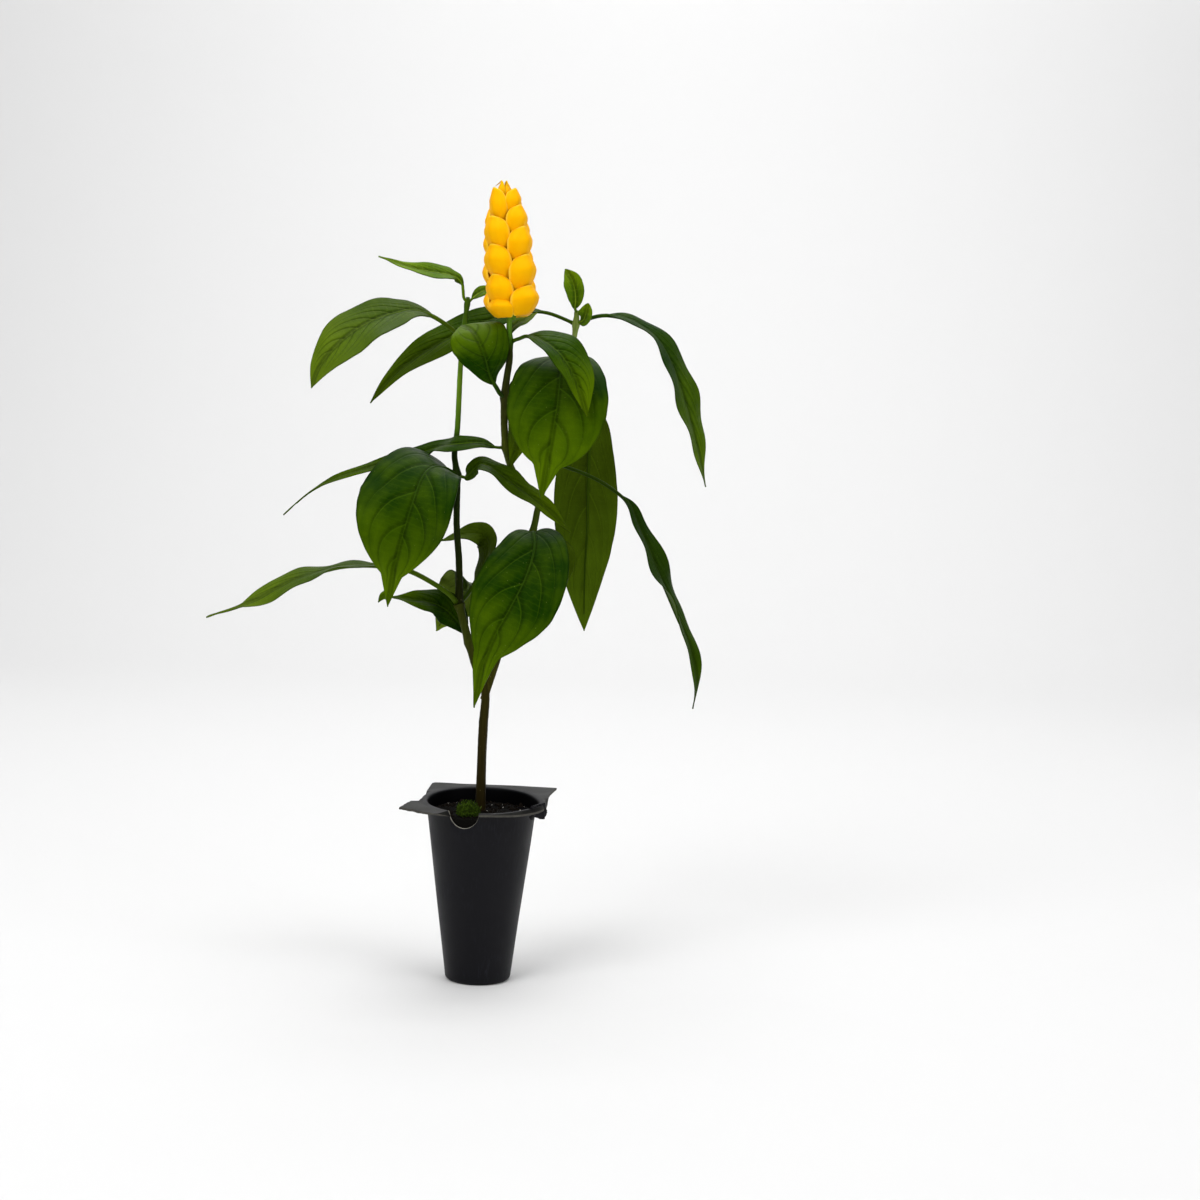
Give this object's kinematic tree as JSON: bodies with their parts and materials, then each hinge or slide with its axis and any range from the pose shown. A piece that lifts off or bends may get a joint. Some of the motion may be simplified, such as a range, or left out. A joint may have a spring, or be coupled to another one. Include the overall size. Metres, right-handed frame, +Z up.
{
  "type": "potted golden shrimp plant",
  "caption": "Flowering shrimp plant with an upright golden bract spike, broad glossy leaves on forked stems, rooted in a small black square-flanged plug pot.",
  "frame": {"origin": "centre of the pot's foot, on the surface that the pot stands on", "axes": "+Z up along the pot's axis, +X to the right and -Y towards the viewer of the picture"},
  "size_m": [0.2605, 0.0818, 0.4165],
  "materials": {
    "pot": "matt, slightly scratched",
    "soil": "rough, moist",
    "stem": "smooth green bark",
    "leaf": "satin",
    "young_leaf": "satin",
    "bract": "satin"
  },
  "bodies": {
    "root": {"pot": "pot", "soil": "soil", "stems": "stem", "leaf_left_top_a": "young_leaf", "leaf_left_top_b": "young_leaf", "leaf_left_upper": "leaf", "leaf_left_middle_a": "leaf", "leaf_left_middle_b": "leaf", "leaf_left_low_a": "leaf", "leaf_left_low_b": "leaf", "leaf_left_low_c": "leaf", "leaf_trunk": "leaf", "leaf_right_top_a": "leaf", "leaf_right_top_b": "leaf", "leaf_right_tip_a": "young_leaf", "leaf_right_tip_b": "young_leaf", "leaf_right_upper_a": "leaf", "leaf_right_upper_b": "leaf", "leaf_right_middle": "leaf", "leaf_right_low_a": "leaf", "leaf_right_low_b": "leaf", "leaf_bloom_low": "leaf", "leaf_bloom_middle_a": "leaf", "leaf_bloom_middle_b": "leaf", "leaf_bloom_top_a": "leaf", "leaf_bloom_top_b": "young_leaf", "bloom_spike": "bract"}
  },
  "joints": []
}
